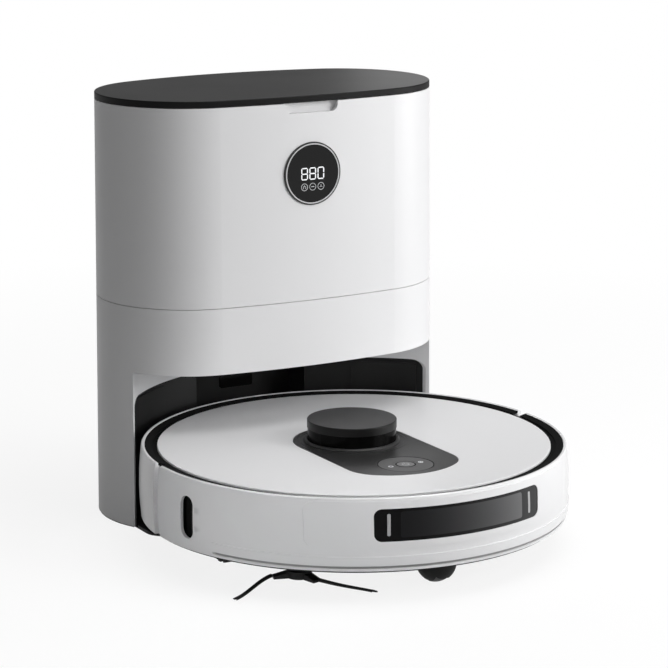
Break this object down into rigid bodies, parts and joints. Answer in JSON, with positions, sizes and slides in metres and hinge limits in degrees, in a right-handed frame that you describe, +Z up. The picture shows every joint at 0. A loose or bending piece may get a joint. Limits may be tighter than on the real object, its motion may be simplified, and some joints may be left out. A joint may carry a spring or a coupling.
{
  "type": "robot vacuum",
  "caption": "Round robot vacuum with a laser turret and sprung bumper, parked in its oval self-emptying dock with a hinged lid, dust bag and round display.",
  "frame": {"origin": "on the floor under the middle of the dock's plan, at the centre of the dock's middle rubber pad", "axes": "+Z up; the fronts of the dock and of the parked robot face -Y, and +X is on the right in a front view"},
  "size_m": [0.35, 0.4164, 0.3583],
  "materials": {
    "dock_shell_white": "satin white moulded plastic",
    "lid_black": "black, softly glossy",
    "black_plastic": "black, fine texture",
    "display_black": "polished black lens",
    "robot_white": "glossy white moulded plastic",
    "cover_white": "white, smooth satin",
    "island_grey": "dark grey, fine texture",
    "button_grey": "dark grey satin",
    "turret_black": "black satin",
    "smoked_window": "dark clear plastic",
    "sensor_black": "polished black lens",
    "deck_grey": "black, satin",
    "chassis_grey": "dark grey moulded plastic",
    "inner_grey": "grey moulded plastic",
    "clear_grey": "smoked plastic",
    "pad_rubber": "soft rubber",
    "brush_rubber": "soft rubber fins",
    "tread_rubber": "treaded rubber",
    "wheel_grey": "grey moulded plastic",
    "bristle": "nylon bristles",
    "bag_paper": "filter paper",
    "card": "stiff card",
    "filter_paper": "pleated filter",
    "steel": "bright steel",
    "contact_metal": "nickel-plated contact",
    "board": "circuit board",
    "cell_wrap": "shrink wrap"
  },
  "bodies": {
    "dock": {"dock_lower_shell": "dock_shell_white", "dock_upper_shell": "dock_shell_white", "lid_hinge_pin": "steel", "dock_base_plate": "black_plastic", "dock_feet": "pad_rubber", "dock_screws": "steel", "alcove_liner": "black_plastic", "charging_terminals": "contact_metal", "beacon_window": "display_black", "dust_port_seal": "pad_rubber", "dust_duct": "inner_grey", "bag_bay": "inner_grey", "bag_collar": "card", "dust_bag": "bag_paper", "motor_housing": "inner_grey", "rear_grille": "black_plastic", "exhaust_filter": "filter_paper", "power_inlet": "black_plastic", "display_bezel": "lid_black", "display_glass": "display_black"},
    "lid": {"dock_lid": "lid_black"},
    "fan": {"fan_impeller": "inner_grey"},
    "robot": {"chassis_base": "chassis_grey", "rear_side_wall": "robot_white", "top_deck": "deck_grey", "top_cover": "cover_white", "control_island": "island_grey", "lidar_cap": "turret_black", "lidar_window": "smoked_window", "lidar_base": "turret_black", "lidar_belt": "tread_rubber", "lidar_motor": "steel", "dustbin": "clear_grey", "suction_fan": "inner_grey", "battery_pack": "cell_wrap", "main_board": "board", "brush_guard": "wheel_grey", "robot_contacts": "contact_metal", "cliff_sensors": "sensor_black", "robot_screws": "steel", "wall_sensor": "sensor_black"},
    "bumper": {"bumper": "robot_white", "bumper_trim": "deck_grey", "sensor_window": "sensor_black", "window_bars": "clear_grey"},
    "lidar_head": {"lidar_head": "turret_black"},
    "lidar_pulley": {"lidar_pulley": "black_plastic"},
    "power_button": {"power_button": "button_grey"},
    "rocker_button": {"rocker_button": "button_grey"},
    "left_arm": {"left_wheel_arm": "chassis_grey"},
    "right_arm": {"right_wheel_arm": "chassis_grey"},
    "left_wheel": {"left_wheel": "wheel_grey", "left_tyre": "tread_rubber"},
    "right_wheel": {"right_wheel": "wheel_grey", "right_tyre": "tread_rubber"},
    "caster_fork": {"caster_fork": "chassis_grey"},
    "caster_wheel": {"caster_wheel": "wheel_grey"},
    "main_brush": {"main_brush": "brush_rubber"},
    "side_brush": {"side_brush_hub": "black_plastic", "side_brush_bristles": "bristle"}
  },
  "joints": [
    {"name": "robot_drive_out", "type": "slide", "parent": "dock", "child": "robot", "axis": [0, -1, 0], "range_m": [0, 0.35]},
    {"name": "lid_open", "type": "hinge", "parent": "dock", "child": "lid", "pos_m": [0, 0.085, 0.347], "axis": [-1, 0, 0], "range_deg": [0, 95]},
    {"name": "fan_spin", "type": "hinge", "parent": "dock", "child": "fan", "pos_m": [-0.01, 0, 0.17], "axis": [0, 0, 1], "continuous": true},
    {"name": "bumper_press", "type": "slide", "parent": "robot", "child": "bumper", "axis": [0, 1, 0], "range_m": [0, 0.004], "stiffness_N_per_m": 400, "springref_m": -0.001},
    {"name": "lidar_spin", "type": "hinge", "parent": "robot", "child": "lidar_head", "pos_m": [0, -0.1481, 0.08], "axis": [0, 0, 1], "continuous": true},
    {"name": "lidar_pulley_spin", "type": "hinge", "parent": "robot", "child": "lidar_pulley", "pos_m": [0.046, -0.1481, 0.07], "axis": [0, 0, 1], "continuous": true},
    {"name": "power_press", "type": "slide", "parent": "robot", "child": "power_button", "axis": [0, 0, -1], "range_m": [0, 0.0006], "stiffness_N_per_m": 1500, "springref_m": -0.0006},
    {"name": "rocker_tilt", "type": "hinge", "parent": "robot", "child": "rocker_button", "pos_m": [0, -0.2333, 0.0816], "axis": [0, 1, 0], "range_deg": [-1.2, 1.2], "stiffness_Nm_per_rad": 0.6},
    {"name": "left_suspension", "type": "hinge", "parent": "robot", "child": "left_arm", "pos_m": [-0.0955, -0.1093, 0.04], "axis": [1, 0, 0], "range_deg": [-8, 30], "stiffness_Nm_per_rad": 0.8, "springref_deg": 6.88},
    {"name": "right_suspension", "type": "hinge", "parent": "robot", "child": "right_arm", "pos_m": [0.0955, -0.1093, 0.04], "axis": [1, 0, 0], "range_deg": [-8, 30], "stiffness_Nm_per_rad": 0.8, "springref_deg": 6.88},
    {"name": "left_wheel_spin", "type": "hinge", "parent": "left_arm", "child": "left_wheel", "pos_m": [-0.113, -0.1513, 0.035], "axis": [1, 0, 0], "continuous": true},
    {"name": "right_wheel_spin", "type": "hinge", "parent": "right_arm", "child": "right_wheel", "pos_m": [0.113, -0.1513, 0.035], "axis": [1, 0, 0], "continuous": true},
    {"name": "caster_swivel", "type": "hinge", "parent": "robot", "child": "caster_fork", "pos_m": [0, -0.2753, 0.03], "axis": [0, 0, 1], "continuous": true},
    {"name": "caster_roll", "type": "hinge", "parent": "caster_fork", "child": "caster_wheel", "pos_m": [0, -0.2803, 0.0105], "axis": [1, 0, 0], "continuous": true},
    {"name": "main_brush_spin", "type": "hinge", "parent": "robot", "child": "main_brush", "pos_m": [0, -0.0993, 0.021], "axis": [1, 0, 0], "continuous": true},
    {"name": "side_brush_spin", "type": "hinge", "parent": "robot", "child": "side_brush", "pos_m": [-0.097, -0.2353, 0.01], "axis": [0, 0, 1], "continuous": true}
  ],
  "couplings": [
    {"joint": "lidar_pulley_spin", "follows": "lidar_spin", "ratio": 5.5909},
    {"joint": "left_wheel_spin", "follows": "robot_drive_out", "rad_per_m": 28.571},
    {"joint": "right_wheel_spin", "follows": "robot_drive_out", "rad_per_m": 28.571}
  ]
}
